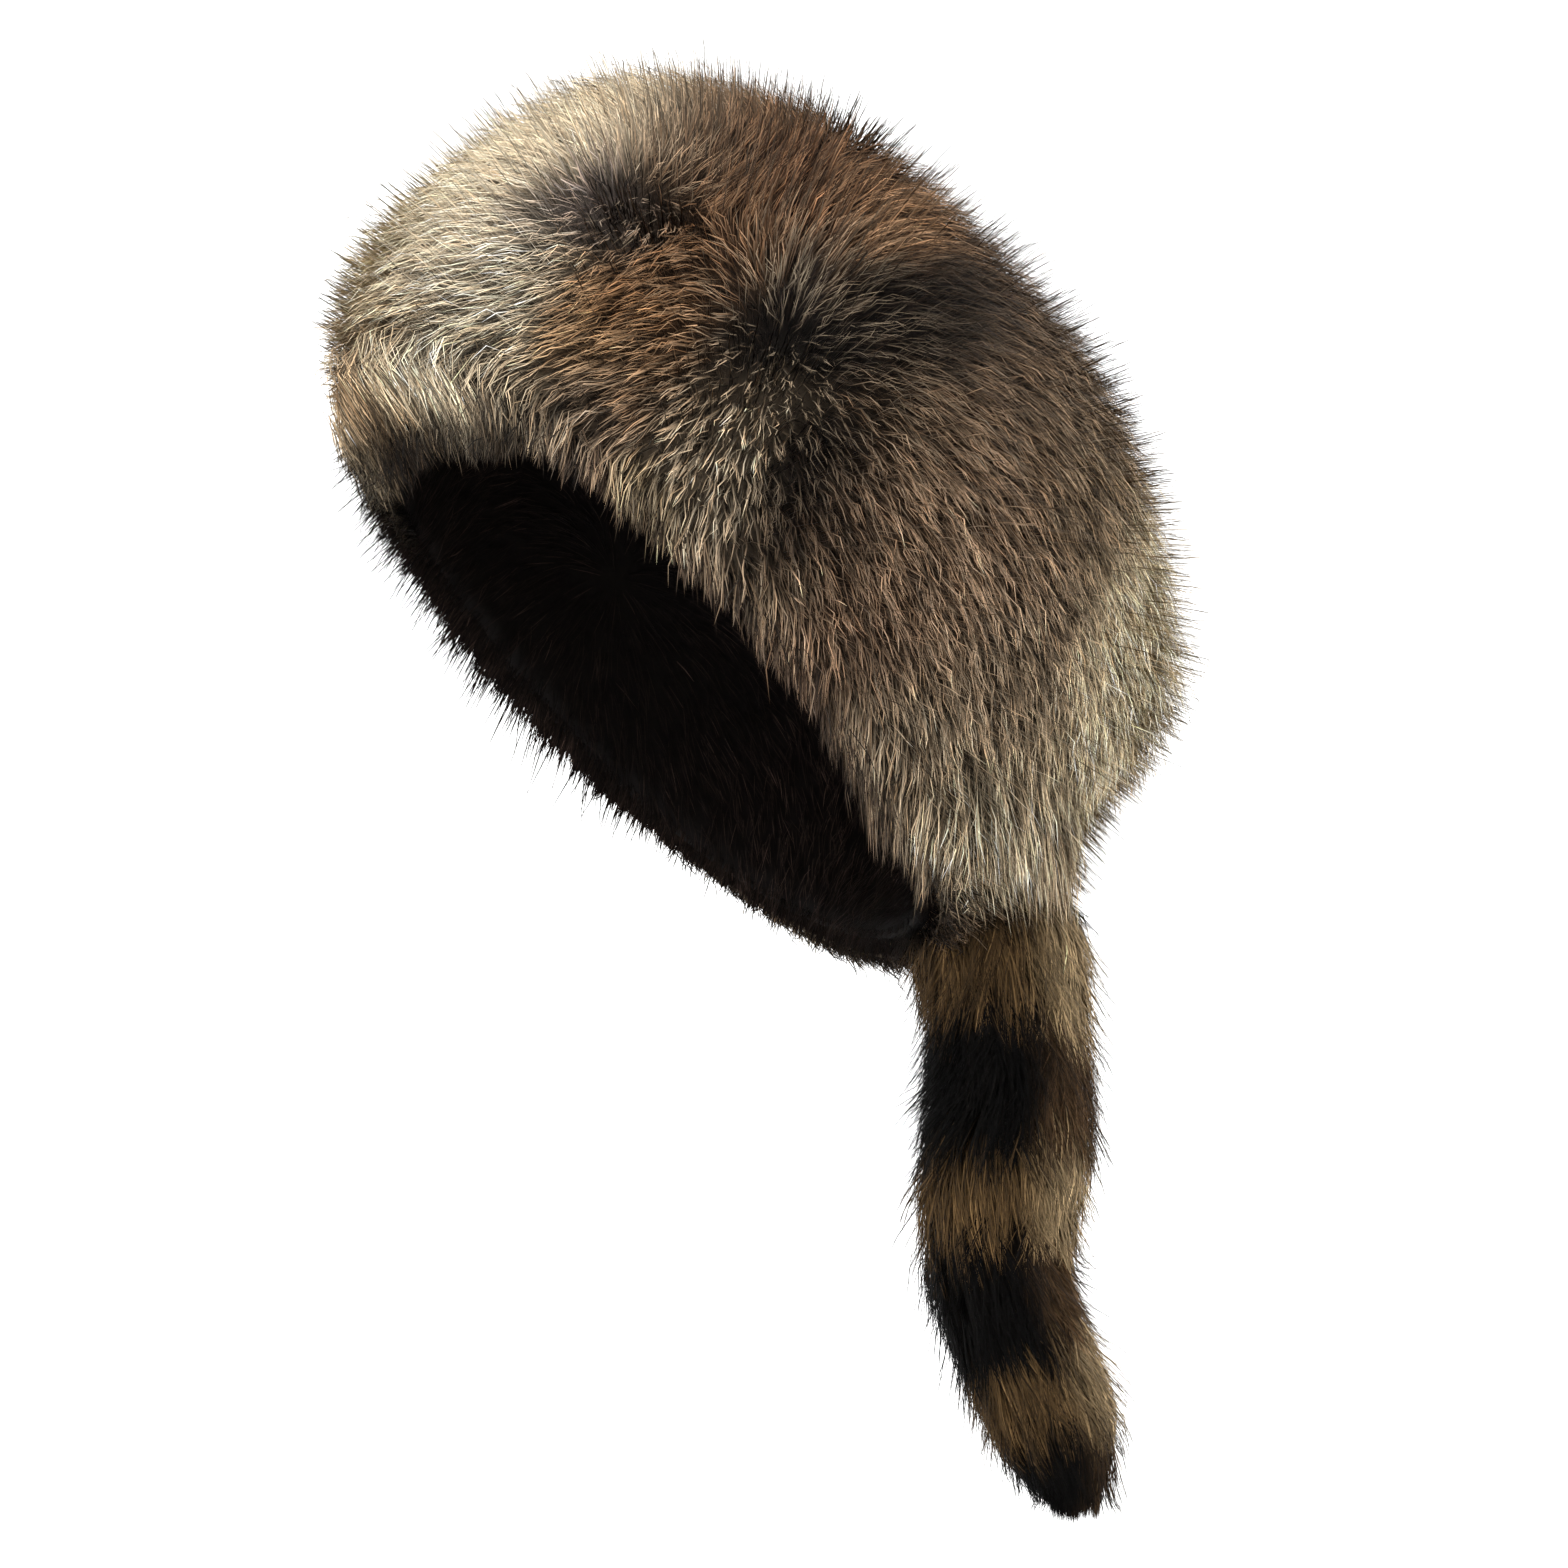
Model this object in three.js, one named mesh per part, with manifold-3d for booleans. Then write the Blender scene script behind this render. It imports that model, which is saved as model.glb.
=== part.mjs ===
// Raccoon-fur cap with a hanging ringed tail, worn tilted back.
// Millimetres, +Z up, front of the cap at -Y, wearer's left at +X.
// The cap is shaped in its own frame (rim plane at z = 0) and then tilted. The tail hangs in the world frame.
import * as THREE from 'three';
import ManifoldModule from 'manifold-3d';

const kernel = await ManifoldModule();
kernel.setup();
const { Manifold, Mesh } = kernel;

// Head opening, measured inside the lining.
const HEAD_WIDTH = 168;
const HEAD_LENGTH = 200;
const HEAD_DEPTH = 112;

// Layers, from the head outward.
const LINING_WALL = 5;
const SKIN_WALL = 2.5;
const FIT_GAP = 0.3;
const UNDERFUR_DEPTH = 15;
const RIM_UNDERFUR_SHARE = 0.3;
const RIM_TAPER = THREE.MathUtils.degToRad(24);
const LOCK_RISE = 9;

// Form of the crown.
const FULLNESS = 3.1;
const FORWARD_LEAN = 14;
const TILT_BACK = THREE.MathUtils.degToRad(43.5);

// Locks of the outer fur.
const LOCK_LENGTH = 50;
const LOCK_WIDTH = 29;
const LOCK_ROW_PITCH = 29;
const RIM_SKIRT = 4;
const RIM_HANG = 11;
const RIM_LOCK_COUNT = 26;

// Fringe of the lining at the rim.
const FRINGE_COUNT = 22;
const FRINGE_LENGTH = 13;

// Tail, at the full size of its locks.
const TAIL_DIAMETER = 51;
const TAIL_LENGTH = 159;
const TAIL_ROOT_ABOVE_RIM = 16.4;
const TAIL_CORE_SHARE = 0.74;
const TAIL_LOCK_ROWS = 9;
const TAIL_LOCKS_ROUND = 7;
const TAIL_LOCK_LENGTH = 32;

// Facets.
const FACETS_ROUND = 32;
const FACETS_UP = 8;
const TAIL_FACETS = 12;

const LINING_OUTSET = LINING_WALL;
const SKIN_INNER_OUTSET = LINING_OUTSET + FIT_GAP;
const SKIN_OUTER_OUTSET = SKIN_INNER_OUTSET + SKIN_WALL;
const FUR_INNER_OUTSET = SKIN_OUTER_OUTSET + FIT_GAP;

// Whorls that the outer fur is combed away from. x and y are shares of the half width and half length of the
// opening, z is a share of its depth, reach is in mm.
const WHORLS = [
  { x: 0.98, y: -0.95, z: 0.38, reach: 48 },
  { x: 1.34, y: -0.35, z: 0.35, reach: 62 },
  { x: -0.98, y: -0.95, z: 0.38, reach: 48 },
  { x: -1.34, y: -0.3, z: 0.4, reach: 62 },
];

// Centre line of the tail. back is a share of the opening's half length, drop is a share of the tail's length below
// its root, size is a share of its diameter.
const TAIL_SECTIONS = [
  { drop: 0.0, back: 0.98, size: 0.64 },
  { drop: 0.04, back: 0.985, size: 0.88 },
  { drop: 0.12, back: 1.0, size: 1.0 },
  { drop: 0.22, back: 1.02, size: 0.95 },
  { drop: 0.34, back: 1.03, size: 0.94 },
  { drop: 0.46, back: 1.015, size: 0.95 },
  { drop: 0.57, back: 0.995, size: 0.88 },
  { drop: 0.68, back: 1.005, size: 0.8 },
  { drop: 0.78, back: 1.07, size: 0.76 },
  { drop: 0.87, back: 1.13, size: 0.7 },
  { drop: 0.95, back: 1.17, size: 0.54 },
  { drop: 1.0, back: 1.185, size: 0.26 },
];

const halfWidth = HEAD_WIDTH / 2;
const halfLength = HEAD_LENGTH / 2;

// Depth of the underfur at a climb: thin at the rim, where the pelt is tucked under, and full above the taper.
function furOutset(climb) {
  const share = THREE.MathUtils.smoothstep(climb, -RIM_TAPER * 0.2, RIM_TAPER);
  return SKIN_OUTER_OUTSET + UNDERFUR_DEPTH * THREE.MathUtils.lerp(RIM_UNDERFUR_SHARE, 1, share);
}

// Even spread of values in 0..1 that is the same on every run.
function scatter(index, salt) {
  const value = Math.sin(index * 127.1 + salt * 311.7) * 43758.5453;
  return value - Math.floor(value);
}

// Point of the crown at a turn round it (0 at the wearer's left, 90 degrees at the back) and a climb from the rim.
function crownPoint(turn, climb, outset) {
  const flat = Math.abs(Math.cos(climb));
  const steep = Math.abs(Math.sin(climb));
  const radius = Math.pow(flat ** FULLNESS + steep ** FULLNESS, -1 / FULLNESS);
  const reach = radius * flat;
  const rise = radius * steep;
  return new THREE.Vector3(
    (halfWidth + outset) * reach * Math.cos(turn),
    (halfLength + outset) * reach * Math.sin(turn) - FORWARD_LEAN * rise,
    (HEAD_DEPTH + outset) * rise,
  );
}

// Place on the outer fur's backing, with the normal there.
function furPlace(turn, climb) {
  const step = 0.002;
  const root = crownPoint(turn, climb, furOutset(climb));
  const along = crownPoint(turn + step, climb, furOutset(climb)).sub(root);
  const upward = crownPoint(turn, climb + step, furOutset(climb + step)).sub(root);
  return { root, normal: along.cross(upward).normalize() };
}

// Direction in which the outer fur lies at a point of the crown.
function combDirection(point, normal) {
  const backward = THREE.MathUtils.clamp((point.y + 70) / 60, -1, 1) * 0.75;
  const flow = new THREE.Vector3(0, backward, -0.7);
  for (const whorl of WHORLS) {
    const centre = new THREE.Vector3(whorl.x * halfWidth, whorl.y * halfLength, whorl.z * HEAD_DEPTH);
    const away = point.clone().sub(centre);
    const distance = Math.max(away.length(), 1);
    flow.addScaledVector(away, 1.9 * Math.exp(-((distance / whorl.reach) ** 2)) / distance);
  }
  flow.addScaledVector(normal, -flow.dot(normal));
  return flow.normalize();
}

function solidFrom(points, triangles) {
  return new Manifold(new Mesh({
    numProp: 3,
    vertProperties: new Float32Array(points.flatMap((p) => [p.x, p.y, p.z])),
    triVerts: new Uint32Array(triangles.flat()),
  }));
}

// Closed body through rings of equal count, with a flat or pointed end at each side.
function loft(rings, startPoint, endPoint) {
  const count = rings[0].length;
  const points = rings.flat();
  const triangles = [];
  for (let row = 0; row < rings.length - 1; row += 1) {
    for (let i = 0; i < count; i += 1) {
      const next = (i + 1) % count;
      const a = row * count + i;
      const b = row * count + next;
      const c = a + count;
      const d = b + count;
      triangles.push([a, b, d], [a, d, c]);
    }
  }
  const start = points.push(startPoint) - 1;
  const end = points.push(endPoint) - 1;
  const last = (rings.length - 1) * count;
  for (let i = 0; i < count; i += 1) {
    const next = (i + 1) % count;
    triangles.push([next, i, start], [last + i, last + next, end]);
  }
  return solidFrom(points, triangles);
}

// Filled crown out to an outset, which is a size or a function of the climb, carried straight down below the rim
// plane by a skirt.
function filledCrown(outset, skirt) {
  const outsetAt = typeof outset === 'function' ? outset : () => outset;
  const rings = [];
  for (let row = -1; row < FACETS_UP; row += 1) {
    const climb = Math.max(row, 0) / FACETS_UP * Math.PI / 2;
    const lowered = row < 0 ? skirt : 0;
    const ring = [];
    for (let i = 0; i < FACETS_ROUND; i += 1) {
      const point = crownPoint(i / FACETS_ROUND * 2 * Math.PI, climb, outsetAt(climb));
      point.z -= lowered;
      ring.push(point);
    }
    rings.push(ring);
  }
  return loft(rings, new THREE.Vector3(0, 0, -skirt), crownPoint(0, Math.PI / 2, outsetAt(Math.PI / 2)));
}

function crownWall(innerOutset, outerOutset, skirt) {
  return filledCrown(outerOutset, skirt).subtract(filledCrown(innerOutset, skirt + 20));
}

// One lock of fur: a keeled blade that leaves the backing, follows the comb direction and lifts to a point.
// It bends with the surface that it lies on, which falls away by sag over the lock's length.
function lock(root, normal, flow, length, width, rise, sink, sag) {
  const side = new THREE.Vector3().crossVectors(normal, flow).normalize();
  const at = (along, lift, sideways) => root.clone()
    .addScaledVector(flow, along * length)
    .addScaledVector(normal, lift - sag * along * Math.abs(along))
    .addScaledVector(side, sideways * width);
  const ring = (along, floor, keel, spread) => [
    at(along, floor, -spread),
    at(along, floor, spread),
    at(along, keel, 0),
  ];
  const rings = [
    ring(0.12, -sink * 0.8, rise * 0.55, 0.5),
    ring(0.6, -sink * 0.6, rise, 0.36),
  ];
  return loft(rings, at(-0.3, -sink, 0), at(1, rise * 0.86, 0));
}

// How far the outer fur's backing falls away from the tangent over a length along the comb direction.
function sagAlong(turn, climb, root, normal, flow, length) {
  const step = 0.01;
  const along = furPlace(turn + step, climb).root.sub(root).divideScalar(step);
  const upward = furPlace(turn, climb + step).root.sub(root).divideScalar(step);
  const turned = turn + flow.dot(along) / along.lengthSq() * length;
  const climbed = climb + flow.dot(upward) / upward.lengthSq() * length;
  const ahead = furPlace(turned, Math.max(climbed, 0)).root;
  return Math.max(0, -ahead.sub(root).dot(normal));
}

// Length of a lock, kept short enough for its tip to end just below the rim plane.
function hangLimit(length, root, flow, chance) {
  const hang = RIM_HANG * (0.6 + 0.4 * chance);
  return Math.min(length, (root.z + hang) / Math.max(-flow.z, 0.25));
}

function crownLocks() {
  const locks = [];
  const quarter = (HEAD_DEPTH + furOutset(Math.PI / 2)) * 1.32;
  const rows = Math.round(quarter / LOCK_ROW_PITCH);
  for (let row = 0; row < rows; row += 1) {
    const climb = (row + 0.35) / rows * Math.PI / 2;
    const ringReach = crownPoint(0, climb, furOutset(climb)).x;
    const count = Math.max(3, Math.round(ringReach * 2 * Math.PI / LOCK_WIDTH / 0.98));
    for (let i = 0; i < count; i += 1) {
      const id = row * 100 + i;
      const turn = (i + (row % 2) * 0.5 + (scatter(id, 1) - 0.5) * 0.5) / count * 2 * Math.PI;
      const shifted = climb + (scatter(id, 2) - 0.5) * 0.06;
      const { root, normal } = furPlace(turn, shifted);
      const rise = LOCK_RISE * (0.75 + 0.4 * scatter(id, 4));
      const flow = combDirection(root, normal);
      const length = hangLimit(LOCK_LENGTH * (0.85 + 0.3 * scatter(id, 3)), root, flow, scatter(id, 5));
      const sag = sagAlong(turn, shifted, root, normal, flow, length);
      locks.push(lock(root, normal, flow, length, LOCK_WIDTH, rise, 6, sag));
    }
  }
  for (let i = 0; i < RIM_LOCK_COUNT; i += 1) {
    const turn = i / RIM_LOCK_COUNT * 2 * Math.PI;
    const { root, normal } = furPlace(turn, 0.1);
    const flow = combDirection(root, normal).add(new THREE.Vector3(0, 0, -1.2));
    flow.addScaledVector(normal, -flow.dot(normal)).normalize();
    const length = hangLimit(LOCK_LENGTH, root, flow, scatter(i, 5));
    locks.push(lock(root, normal, flow, length, LOCK_WIDTH, 4, 7, 1));
  }
  return locks;
}

function tailPoint(section) {
  const rimHeight = -(halfLength + FUR_INNER_OUTSET) * Math.sin(TILT_BACK);
  const rootHeight = rimHeight + TAIL_ROOT_ABOVE_RIM;
  return new THREE.Vector3(0, section.back * halfLength, rootHeight - section.drop * TAIL_LENGTH);
}

// Rings round the tail's centre line, at a share of its full size plus a clearance.
function tailBody(share, clearance) {
  const rings = TAIL_SECTIONS.map((section, index) => {
    const before = tailPoint(TAIL_SECTIONS[Math.max(index - 1, 0)]);
    const after = tailPoint(TAIL_SECTIONS[Math.min(index + 1, TAIL_SECTIONS.length - 1)]);
    const along = after.sub(before).normalize();
    const side = new THREE.Vector3(1, 0, 0);
    const across = new THREE.Vector3().crossVectors(along, side).normalize();
    const radius = TAIL_DIAMETER / 2 * section.size * share + clearance;
    const ring = [];
    for (let i = 0; i < TAIL_FACETS; i += 1) {
      const angle = i / TAIL_FACETS * 2 * Math.PI;
      ring.push(tailPoint(section)
        .addScaledVector(side, radius * Math.cos(angle))
        .addScaledVector(across, radius * Math.sin(angle)));
    }
    return ring;
  });
  const top = tailPoint(TAIL_SECTIONS[0]);
  top.z += 2 + clearance;
  const tip = tailPoint(TAIL_SECTIONS[TAIL_SECTIONS.length - 1]);
  tip.z -= 5 + clearance;
  return loft(rings, top, tip);
}

function tailAt(drop) {
  let index = 1;
  while (TAIL_SECTIONS[index].drop < drop) {
    index += 1;
  }
  const upper = TAIL_SECTIONS[index - 1];
  const lower = TAIL_SECTIONS[index];
  const share = (drop - upper.drop) / (lower.drop - upper.drop);
  return {
    centre: tailPoint(upper).lerp(tailPoint(lower), share),
    along: tailPoint(lower).sub(tailPoint(upper)).normalize(),
    size: THREE.MathUtils.lerp(upper.size, lower.size, share),
  };
}

function tailLocks() {
  const locks = [];
  for (let row = 0; row < TAIL_LOCK_ROWS; row += 1) {
    const place = tailAt(0.17 + 0.78 * row / (TAIL_LOCK_ROWS - 1));
    const coreRadius = TAIL_DIAMETER / 2 * place.size * TAIL_CORE_SHARE;
    const count = row === TAIL_LOCK_ROWS - 1 ? 5 : TAIL_LOCKS_ROUND;
    const side = new THREE.Vector3(1, 0, 0);
    const across = new THREE.Vector3().crossVectors(place.along, side);
    for (let i = 0; i < count; i += 1) {
      const id = 900 + row * 20 + i;
      const angle = (i + (row % 2) * 0.5 + (scatter(id, 6) - 0.5) * 0.3) / count * 2 * Math.PI;
      const normal = side.clone().multiplyScalar(Math.cos(angle)).addScaledVector(across, Math.sin(angle));
      const root = place.centre.clone().addScaledVector(normal, coreRadius);
      const length = TAIL_LOCK_LENGTH * (0.8 + 0.3 * scatter(id, 7)) * (0.45 + 0.55 * place.size);
      const width = coreRadius * 2 * Math.PI / count * 1.02;
      const rise = TAIL_DIAMETER / 2 * place.size * (1 - TAIL_CORE_SHARE) * (0.8 + 0.3 * scatter(id, 8));
      locks.push(lock(root, normal, place.along, length, width, rise, coreRadius * 0.3, 1));
    }
  }
  return locks;
}

function liningFringe() {
  const locks = [];
  for (let i = 0; i < FRINGE_COUNT; i += 1) {
    const turn = (i + 0.5) / FRINGE_COUNT * 2 * Math.PI;
    const root = crownPoint(turn, 0, LINING_WALL * 0.5);
    const normal = new THREE.Vector3(root.x / halfWidth ** 2, root.y / halfLength ** 2, 0).normalize();
    const length = FRINGE_LENGTH * (0.8 + 0.4 * scatter(i, 9));
    const down = new THREE.Vector3(0, 0, -1).addScaledVector(normal, -0.12).normalize();
    const width = LOCK_WIDTH * 0.62;
    locks.push(lock(root, normal, down, length, width, LINING_WALL * 0.35, LINING_WALL * 0.3, 0));
  }
  return locks;
}

// The largest body of a solid, without the scraps that a pocket leaves and the gaps that locks close in.
function mainBody(solid) {
  const bodies = solid.decompose();
  bodies.sort((a, b) => b.volume() - a.volume());
  return bodies[0];
}

function toWorld(solid) {
  const tilt = new THREE.Matrix4().makeRotationX(-TILT_BACK);
  return solid.transform(tilt.elements);
}

function toGeometry(solid) {
  const mesh = solid.getMesh();
  const geometry = new THREE.BufferGeometry();
  const positions = new Float32Array(mesh.numVert * 3);
  for (let i = 0; i < mesh.numVert; i += 1) {
    for (let axis = 0; axis < 3; axis += 1) {
      positions[i * 3 + axis] = mesh.vertProperties[i * mesh.numProp + axis];
    }
  }
  geometry.setAttribute('position', new THREE.BufferAttribute(positions, 3));
  geometry.setIndex(new THREE.BufferAttribute(new Uint32Array(mesh.triVerts), 1));
  return geometry;
}

function piece(name, solid, color, roughness) {
  const flat = toGeometry(solid).toNonIndexed();
  flat.computeVertexNormals();
  const material = new THREE.MeshStandardMaterial({ color, roughness, metalness: 0 });
  const mesh = new THREE.Mesh(flat, material);
  mesh.name = name;
  return mesh;
}

// Crown skin and lining, nested with a fit gap between them.
const skin = crownWall(SKIN_INNER_OUTSET, SKIN_OUTER_OUTSET, 0);
const lining = Manifold.union([crownWall(0, LINING_OUTSET, 0), ...liningFringe()])
  .subtract(crownWall(SKIN_INNER_OUTSET - FIT_GAP, SKIN_OUTER_OUTSET, 20));

// Tail, fitted to the outside of the skin.
const skinEnvelope = toWorld(filledCrown(FUR_INNER_OUTSET, 4));
const tail = mainBody(Manifold.union([tailBody(TAIL_CORE_SHARE, 0), ...tailLocks()]).subtract(skinEnvelope));

// Outer fur, with a pocket for the root of the tail.
const furLocks = Manifold.union([crownWall(FUR_INNER_OUTSET, furOutset, RIM_SKIRT), ...crownLocks()])
  .subtract(filledCrown(FUR_INNER_OUTSET, 60));
const crownFur = mainBody(toWorld(furLocks).subtract(tailBody(1.06, FIT_GAP)));

const cap = new THREE.Group();
cap.name = 'cap';
cap.add(piece('crown_skin', toWorld(skin), 0xb39b7c, 0.8));
cap.add(piece('crown_fur', crownFur, 0x8f7c66, 0.95));
cap.add(piece('lining', toWorld(lining), 0x1d1512, 0.95));
cap.add(piece('tail', tail, 0x7b6547, 0.95));

export default cap;
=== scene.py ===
"""Raccoon-fur cap with a ringed tail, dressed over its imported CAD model."""
import math

import bpy
import numpy as np
from mathutils import Matrix, Vector
from mathutils.kdtree import KDTree


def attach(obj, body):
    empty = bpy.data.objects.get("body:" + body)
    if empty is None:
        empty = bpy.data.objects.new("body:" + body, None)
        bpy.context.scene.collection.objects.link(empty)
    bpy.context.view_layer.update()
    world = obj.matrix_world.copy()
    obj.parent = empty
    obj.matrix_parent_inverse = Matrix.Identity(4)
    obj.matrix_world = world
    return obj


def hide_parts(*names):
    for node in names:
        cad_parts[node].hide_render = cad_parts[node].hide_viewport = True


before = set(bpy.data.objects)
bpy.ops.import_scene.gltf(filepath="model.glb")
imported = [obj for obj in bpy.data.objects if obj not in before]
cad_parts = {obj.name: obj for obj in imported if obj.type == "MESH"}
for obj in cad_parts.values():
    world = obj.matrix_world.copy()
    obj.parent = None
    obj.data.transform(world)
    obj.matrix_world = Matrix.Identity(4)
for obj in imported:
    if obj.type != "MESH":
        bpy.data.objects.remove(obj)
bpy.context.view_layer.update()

# Sizes of the cap in its own frame, in millimetres, as in the part's source.
HALF_WIDTH, HALF_LENGTH, DEPTH = 84.0, 100.0, 112.0
FULLNESS = 3.1
FORWARD_LEAN = 14.0
TILT_BACK = math.radians(43.5)
SKIN_OUTSET = 7.8
UNDERFUR_DEPTH = 15.0
RIM_SHARE = 0.3
RIM_TAPER = math.radians(24)

# How far the strands' base lies under the surface of the CAD's backing, and the outset that directions and
# places on the fur are taken at.
BASE_SINK = 2.0
FUR_SURFACE = 20.0

# Whorls that the fur is combed away from: place and reach.
WHORLS = [
    ((75, -97, 53), 46), ((107, -31, 48), 60),
    ((-75, -97, 53), 46), ((-107, -24, 52), 60),
]

# Patches of colour on the fur: place, radius, sRGB hue, and how much the dark gaps show. The hues are the
# pelt's own colours with painted light and shade in them, and the dark gaps are painted shade between the
# tufts.
PATCHES = [
    ((34, -122, 79), 50, (190, 172, 144), 0.4),
    ((36, -124, 50), 36, (212, 195, 166), 0.5),
    ((2, -129, 39), 40, (234, 214, 180), 0.6),
    ((60, -100, 14), 14, (206, 190, 162), 1.6),
    ((55, -97, -4), 20, (222, 202, 170), 1.1),
    ((50, -108, 28), 24, (236, 216, 184), 0.8),
    ((74, -78, -2), 16, (196, 176, 146), 1.3),
    ((29, -111, 0), 22, (196, 172, 138), 1.2),
    ((75, -97, 53), 12, (122, 106, 100), 1.5),
    ((84, -86, 50), 11, (92, 78, 66), 1.4),
    ((66, -104, 42), 13, (142, 128, 116), 1.3),
    ((91, -74, 66), 20, (92, 64, 41), 1.0),
    ((78, -82, 92), 26, (68, 44, 27), 1.0),
    ((87, -58, 101), 24, (76, 50, 32), 1.0),
    ((75, -80, 112), 22, (92, 66, 45), 1.0),
    ((91, -71, 31), 18, (124, 90, 60), 1.0),
    ((84, -74, 14), 14, (144, 114, 82), 1.0),
    ((86, -65, 5), 10, (92, 79, 66), 1.1),
    ((107, -33, 47), 13, (24, 20, 18), 1.3),
    ((108, -28, 58), 11, (30, 25, 22), 1.2),
    ((106, -27, 31), 14, (136, 118, 96), 1.5),
    ((104, -13, 84), 17, (11, 8, 6), 0.9),
    ((96, -14, 101), 17, (13, 9, 7), 0.8),
    ((109, 1, 37), 13, (11, 8, 7), 0.9),
    ((106, 4, 21), 13, (15, 11, 9), 1.0),
    ((110, 1, 56), 13, (92, 75, 58), 1.1),
    ((91, -38, 106), 18, (156, 120, 88), 1.0),
    ((84, -10, 119), 20, (84, 66, 50), 1.0),
    ((96, 29, 89), 32, (106, 86, 67), 1.1),
    ((103, 37, 39), 30, (138, 113, 90), 1.1),
    ((86, 49, 94), 26, (124, 104, 80), 1.0),
    ((46, 90, 97), 30, (244, 218, 176), 0.9),
    ((49, 103, 69), 30, (238, 213, 172), 0.9),
    ((3, 106, 84), 20, (176, 152, 116), 1.0),
    ((103, -18, 9), 15, (172, 152, 126), 1.3),
    ((100, 6, 0), 12, (122, 104, 84), 1.1),
    ((102, 32, 14), 20, (114, 91, 72), 1.1),
    ((88, 68, 31), 26, (138, 118, 95), 1.1),
    ((83, 65, 0), 20, (136, 118, 96), 1.1),
    ((59, 94, 0), 26, (202, 180, 147), 1.7),
    ((50, 88, -2), 11, (112, 98, 84), 1.8),
    ((97, -28, -8), 10, (146, 128, 100), 1.0),
    ((72, -81, -8), 10, (76, 60, 46), 1.3),
    ((4, -108, -6), 24, (128, 102, 74), 1.4),
    ((-34, -126, 30), 12, (58, 57, 62), 1.3),
]
PLAIN_FUR = (120, 100, 80)

# Centre line of the tail: height, y and radius in millimetres, from the root down.
TAIL_LINE = [
    (-56, 96.5, 19.0), (-62, 98.6, 24.6), (-68, 99.2, 26.2), (-78, 100.6, 24.6), (-90, 101.8, 23.5),
    (-101, 102.4, 23.0), (-112, 102.9, 23.6), (-123, 102.6, 24.0), (-134, 101.2, 24.0), (-145, 99.9, 22.8),
    (-155, 99.3, 21.0), (-166, 99.7, 20.0), (-177, 103.0, 18.8), (-187.5, 107.4, 18.6), (-198, 112.2, 18.0),
    (-209, 116.0, 15.8), (-217, 118.6, 11.6), (-224, 120.4, 6.0),
]
# Rings of the tail: height, and 1 where the fur is tan, 0 where it is black. The low values at the top, down to
# -74, are painted shadow under the nape's fringe.
TAIL_RINGS = [
    (-60, 0.1), (-74, 0.15), (-81, 1.0), (-95, 1.0), (-101, 0.0), (-136, 0.0), (-143, 1.0), (-157, 1.0),
    (-162, 0.0), (-187, 0.0), (-193, 1.0), (-206, 1.0), (-212, 0.0), (-245, 0.0),
]

# Painted shade under the rim and in the fur turned in at the front, as a dark hue; and the pale tips of the
# hairs round the whorls, partly their own silver and partly painted sheen; both as sRGB hues.
RIM_SHADE = (44, 35, 29)
SILVER_TIP_AND_SHEEN = (164, 147, 123)

# Strands in each of the four regions of the crown, and a factor on the width of the strands.
PER_PIECE, THICKEN = ((36000, 1.0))

# The lining's sRGB hue, near black: partly its own dark fur and partly painted shade inside the cap; and the
# place that its hair is combed away from.
LINING_FUR = (20, 14, 11)
LINING_WHORL = (-80.0, -20.0, 40.0)

random = np.random.default_rng(20)


def smoothstep(x, low, high):
    """0 under low, 1 over high, and a smooth step between."""
    t = np.clip((x - low) / (high - low), 0, 1)
    return t * t * (3 - 2 * t)


def unit(v):
    return v / np.maximum(np.linalg.norm(v, axis=-1, keepdims=True), 1e-9)


def linear(hue):
    """An sRGB hue of 0..255 as linear light."""
    c = np.asarray(hue, float) / 255
    return np.where(c <= 0.04045, c / 12.92, ((c + 0.055) / 1.055) ** 2.4)


def dome(turn, climb, outset):
    """Points of the cap's leaning superellipse dome, at an outset from the head."""
    flat, steep = np.abs(np.cos(climb)), np.abs(np.sin(climb))
    radius = (flat ** FULLNESS + steep ** FULLNESS) ** (-1 / FULLNESS)
    reach, rise = radius * flat, radius * steep
    return np.stack([(HALF_WIDTH + outset) * reach * np.cos(turn),
                     (HALF_LENGTH + outset) * reach * np.sin(turn) - FORWARD_LEAN * rise,
                     (DEPTH + outset) * rise], -1)


def fur_outset(climb):
    """Outset of the fur's base, that thins out towards the rim."""
    share = smoothstep(climb, -RIM_TAPER * 0.2, RIM_TAPER)
    return SKIN_OUTSET + UNDERFUR_DEPTH * (RIM_SHARE + (1 - RIM_SHARE) * share) - BASE_SINK


def locate(p, outset):
    """Turn and climb of the dome under a point near it."""
    rise = np.clip(p[:, 2], 0, None) / (DEPTH + outset)
    across = p[:, 0] / (HALF_WIDTH + outset)
    along = (p[:, 1] + FORWARD_LEAN * rise) / (HALF_LENGTH + outset)
    return np.arctan2(along, across), np.arctan2(rise, np.hypot(across, along))


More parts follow.
